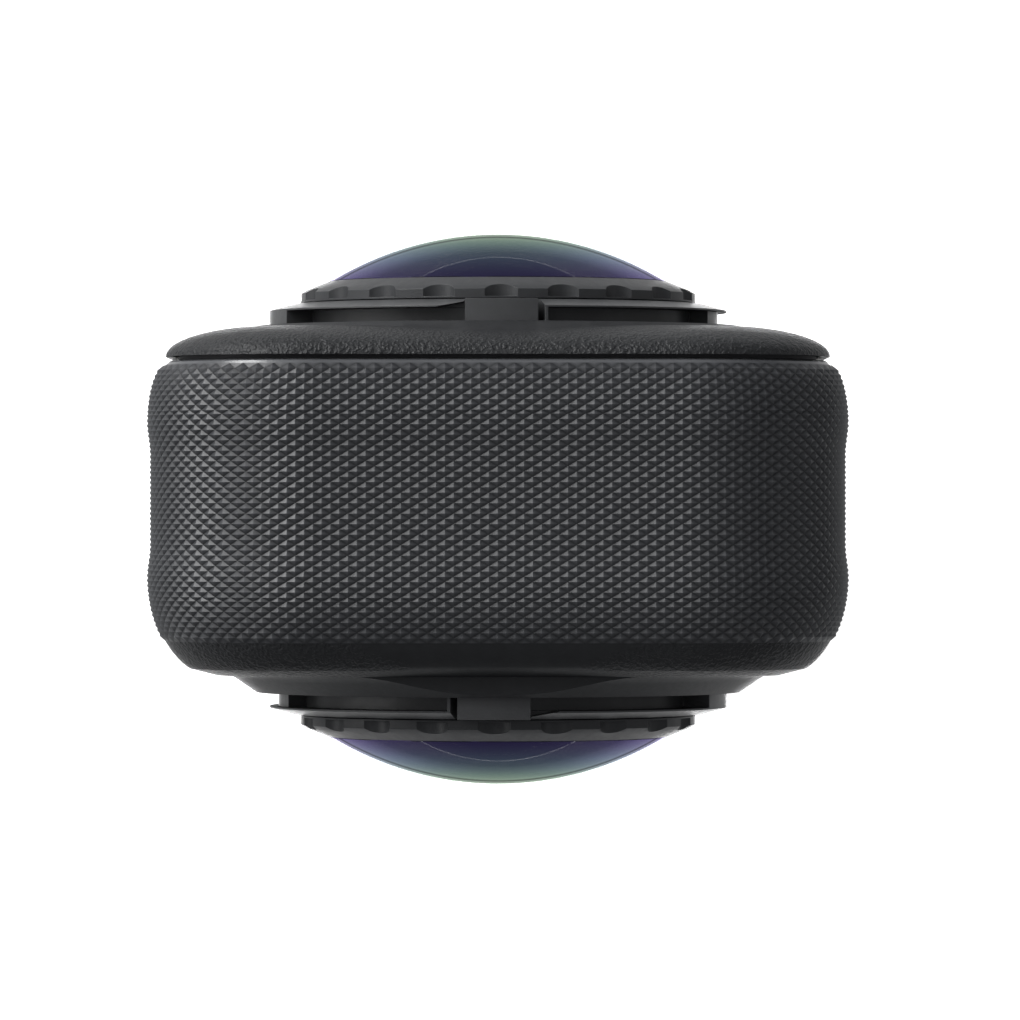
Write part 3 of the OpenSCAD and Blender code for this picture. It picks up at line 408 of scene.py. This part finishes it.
def knurl(name, room, body):
    """Heights over the grid of length round the band by depth, sunk where room is short; each cell is
    split along its lower diagonal, so that the valleys between the points run straight."""
    lengths = np.arange(columns) * legs[-1] / columns
    length, y = np.meshgrid(lengths, row_depth, indexing="ij")
    stagger = (np.arange(columns)[:, None] + np.arange(len(row_depth))) % 2
    rise = np.where(stagger == 0, 1.0, 0.0)
    height = point_height * rise + seat_height
    x, z = round_band(length, -band_inset(y))
    short = room(x, y, z) < clear_of_edge
    height = np.where(short, sunk, height)
    height[:, [0, -1]] = np.minimum(height[:, [0, -1]], 0) - edge_sink
    x, z = round_band(length, height - band_inset(y))
    points = np.stack([x, y, z], axis=-1).reshape(-1, 3)
    at = np.arange(points.shape[0]).reshape(x.shape)
    here, behind = at[:, :-1], at[:, 1:]
    beside, across = np.roll(here, -1, axis=0), np.roll(behind, -1, axis=0)
    level = height.ravel()
    lower = (level[here] + level[across] < level[beside] + level[behind])[..., None, None]
    one_way = np.stack([np.stack([here, across, beside], -1), np.stack([here, behind, across], -1)], -2)
    other_way = np.stack([np.stack([here, behind, beside], -1), np.stack([beside, behind, across], -1)], -2)
    split = np.where(lower, one_way, other_way).reshape(-1, 3)
    split = split[(level[split] > sunk).any(axis=1)]
    used, faces = np.unique(split, return_inverse=True)
    piece = sheet(name, points[used], faces.reshape(-1, 3), body, point_plastic)
    risen = piece.data.attributes.new("rise", "FLOAT", "POINT")
    risen.data.foreach_set("value", rise.ravel()[used])


point_plastic, place = finish("knurl_points")
rise = place.node("Attribute", {"attribute_name": "rise"}, out="Fac")
# The points are painted lighter at their tips and darker in the valleys between them, by their rise:
# painted highlight and painted shade, with a little blotchy tone mixed in.
mottle_and_painted_light = rise * 0.85 + place.speckle(2.5, 5) * 0.15
lay(point_plastic, Base_Color=mottle_and_painted_light.blend((0.014, 0.015, 0.017, 1), (0.07, 0.072, 0.078, 1)),
    Roughness=place.speckle(0.5) * 0.1 + 0.36, Normal=place.speckle(0.09).relief(0.004))
knurl("band_knurl", lambda x, y, z: np.minimum.reduce(
    [port_edge(x, y, z, door_hang), battery_edge(x, y, z), small_openings(x, y, z)]), "camera_body")
knurl("battery_knurl", lambda x, y, z: np.minimum(-battery_edge(x, y, z), latch_edge(x, y, z)), "battery")
knurl("door_knurl", lambda x, y, z: -port_edge(x, y, z), "port_door")

# Covers. The rear and front covers are black plastic, moulded with a pebbled grain like leather on their
# slopes; the cones under the two lenses are left smooth.
lens_height = middle_and_half("rear_lens_base")[0][2]
cone_radius, cone_depth, cone_spread = 16.3, 12.3, 1.45


def from_lens_axis(place):
    """Distance from the lens axis, which runs front to back at the height of the lenses."""
    across, height = place.split()[::2]
    up = height - lens_height
    return (across * across + up * up).math("SQRT")


grained, place = finish("grained_cover")
depth = place.split()[1].math("ABSOLUTE")
cone_foot = cone_radius + cone_spread * cone_depth - depth * cone_spread
rough_skin = (from_lens_axis(place) - cone_foot).step(0.1, 0.9)
wander = place.speckle(0.9, 3)
grain = place.speckle(0.26, 1).step(0.42, 0.66) * 0.7 + place.speckle(0.5, 2).step(0.35, 0.7) * 0.3
lay(grained, Base_Color=wander.blend((0.014, 0.0147, 0.016, 1), (0.025, 0.026, 0.028, 1)),
    Specular_IOR_Level=0.3, Roughness=place.speckle(0.3) * 0.12 + 0.42,
    Normal=(grain * rough_skin + place.speckle(0.08) * 0.05).relief(0.075))
skin(grained, "rear_cover", "front_cover")

# Mount. A turned steel insert, set flush into the base of the band, holds the tripod thread. Its bore
# stops short of the top, so that no screw can reach the inside.
skin(cast("insert_steel", (0.5, 0.5, 0.52), 1.0, 0.28, 0.15, 0.004), "tripod_insert")

# Screen and light. One sheet of polished black glass is set flush into the rear cover, over the display,
# which is off. A moulded light pipe, flush with the front cover, shows that the camera is on.
glass_black, place = finish("screen_glass")
lay(glass_black, Base_Color=place.speckle(8).blend((0.004, 0.004, 0.005, 1), (0.007, 0.007, 0.009, 1)),
    Roughness=place.speckle(20) * 0.04 + 0.05, Coat_Weight=0.4, Coat_Roughness=0.03)
skin(glass_black, "screen_glass")
light_pipe, place = finish("light_pipe")
lay(light_pipe, Base_Color=place.speckle(0.6).blend((0.66, 0.67, 0.69, 1), (0.8, 0.81, 0.83, 1)),
    Roughness=0.25)
skin(light_pipe, "status_light")

# Buttons and latch. They are satin black plastic, moulded with a fine spark-eroded skin. A flange holds
# each button behind its opening, and the ribbed latch slides in a slot of the battery cover.
skin(cast("button_plastic", (0.035, 0.036, 0.038), 0.0, 0.4, 0.12, 0.008), "power_button", "quick_button",
     "shutter_button", "lens_select_button", "battery_latch")

# Bayonets. Each lens seats on a base of black glass-filled plastic, moulded in one with its wings, key
# block and slots, and screwed to the cover from inside.
broken_edge = 0.06
skin(cast("bayonet_plastic", (0.055, 0.0565, 0.059), 0.0, 0.42, 0.16, 0.006), "front_lens_base",
     "rear_lens_base", soften=broken_edge)

# Lens rings. Each grip ring is alloy, milled with scallops and painted satin black. It holds its dome
# over a rubber seal, and turns in the bayonet.
ring_paint = cast("ring_paint", (0.04, 0.0415, 0.044), 0.0, 0.42, 0.14, 0.005)
lay(ring_paint, Specular_IOR_Level=0.32)
skin(ring_paint, "front_lens_ring", "rear_lens_ring", soften=broken_edge)

# Barrels and inner glass. A matt black barrel with stepped ridges, which keep stray light out, holds the
# polished and coated elements over the sensor.
skin(cast("barrel_black", (0.015, 0.015, 0.017), 0.0, 0.38, 0.2, 0.004), "front_lens_barrel",
     "rear_lens_barrel")
chip, place = finish("sensor_chip")
lay(chip, Base_Color=place.speckle(0.2).blend((0.015, 0.025, 0.05, 1), (0.03, 0.04, 0.08, 1)),
    Roughness=0.2)
dress(chip, "front_image_sensor", "rear_image_sensor")


def coated(name, stops, reach, body, see_through, line):
    """Dark clear glass under a mirror that grows as the fifth power of the slant. The mirror's colour
    follows the distance from the axis, up to reach. Near the outline, a thin line and the last edge are
    taken out of the mirror, as far as line says."""
    material, place = finish(name)
    slant = place.node("LayerWeight", values={"Blend": 0.5}, out="Facing")
    black, white = (0, 0, 0), (1, 1, 1)
    edge = slant.node("ValToRGB", {"stops": [
        (0.0, black), (0.815, black), (0.84, white), (0.862, black), (1.0, black)]}, {"Fac": slant})
    outline = slant.step(0.87, 0.9)
    mirror = (slant.math("POWER", 5.0) * 0.96 + 0.04) * (1 - edge * line) * (1 - outline * line)
    tint = place.node("ValToRGB", {"stops": stops}, {"Fac": from_lens_axis(place) * (1 / reach)})
    film = place.node("BsdfPrincipled", values={"Base Color": tint, "Metallic": 1.0, "Roughness": 0.03})
    light = tuple(1.3 * c for c in body)
    # The glass body is painted dark and lets little light through: painted shade for the dark barrel that
    # the thick real glass shows by refraction. Where line takes the mirror out near the outline, this dark
    # body shows as a thin dark line, which is painted shade too.
    lay(material, Base_Color=place.speckle(6).blend((*body, 1), (*light, 1)), Roughness=0.3,
        Specular_IOR_Level=0.0, Alpha=1 - see_through)
    mix_with(material, mirror, film)
    return material


element_rim, glass_crease = 6.5, 40
element_coat = coated("element_coat", [(0.0, (0.9, 0.95, 1.0)), (1.0, (0.82, 0.88, 1.0))], element_rim,
                      (0.008, 0.0085, 0.0115), 0.35, 0.0)
skin(element_coat, "front_second_element", "rear_second_element", "front_third_element",
     "rear_third_element", "front_rear_element", "rear_rear_element", crease=glass_crease)

# Domes. Each dome is a thick shell of clear glass, ground and polished, and held in its ring over a seal.
# Its coating throws back green at the middle, then blue, and violet at the rim; the inside is bare.
dome_curve, dome_wall, dome_bore = 21.6, 1.2, 10.45
dome_rim = middle_and_half("rear_lens_dome")[1][0]
outer_steps, inner_steps, round_steps = 56, 40, 160
# The dome's glass body is painted dark and lets only 13 % through: painted shade for the dark barrel seen
# through the thick glass.
dome_coat = coated("dome_coat", [
    (0.0, (0.74, 1.0, 0.7)), (0.3, (0.68, 1.0, 0.68)), (0.44, (0.57, 0.96, 0.66)),
    (0.56, (0.47, 0.82, 0.72)), (0.68, (0.43, 0.7, 0.86)), (0.8, (0.42, 0.6, 1.0)),
    (0.9, (0.43, 0.46, 1.0)), (1.0, (0.38, 0.27, 1.0))], dome_rim, (0.007, 0.008, 0.011), 0.13, 0.75)
bare_glass, place = finish("bare_glass")
lay(bare_glass, Base_Color=place.speckle(6).blend((0.01, 0.0105, 0.016, 1), (0.014, 0.0145, 0.021, 1)),
    Roughness=0.2, Specular_IOR_Level=0.0, Alpha=0.15)


def dome_shell(node):
    """A profile of radius and height, turned round the lens axis: outer arc, foot, then inner arc."""
    middle, half = middle_and_half(node)
    side, depth = np.sign(middle[1]), np.abs(middle[1])
    centre, foot = depth + half[1] - dome_curve, depth - half[1]
    outer = np.linspace(0, dome_rim, outer_steps)
    inner = np.linspace(dome_bore, 0, inner_steps)
    outer_arc = np.stack([outer, centre + np.sqrt(dome_curve ** 2 - outer ** 2)], -1)
    inner_arc = np.stack([inner, centre + np.sqrt((dome_curve - dome_wall) ** 2 - inner ** 2)], -1)
    profile = np.concatenate([outer_arc, [[dome_rim, foot], [dome_bore, foot]], inner_arc])
    angle = np.linspace(0, 2 * np.pi, round_steps, endpoint=False)
    radius, height = profile[:, None, 0], profile[:, None, 1]
    around = radius * np.sin(angle), side * height + 0 * angle, lens_height + radius * np.cos(angle)
    points = np.stack(around, -1).reshape(-1, 3)
    at = np.arange(len(points)).reshape(len(profile), round_steps)
    after = np.roll(at, -1, axis=1)
    faces = np.stack([at[:-1], after[:-1], after[1:], at[1:]], -1).reshape(-1, 4)
    piece = sheet(node + "_shell", points, faces, carried_by[node], dome_coat)
    piece.data.materials.append(bare_glass)
    inside = np.repeat(np.arange(len(profile) - 1) >= outer_steps, round_steps).astype(int)
    piece.data.polygons.foreach_set("material_index", inside)
    shell = bmesh.new()
    shell.from_mesh(piece.data)
    bmesh.ops.remove_doubles(shell, verts=shell.verts, dist=1e-7)
    bmesh.ops.recalc_face_normals(shell, faces=shell.faces)
    shell.to_mesh(piece.data)
    shell.free()
    piece.data.shade_smooth()
    piece.data.set_sharp_from_angle(angle=np.radians(glass_crease))
    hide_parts(node)


dome_shell("front_lens_dome")
dome_shell("rear_lens_dome")
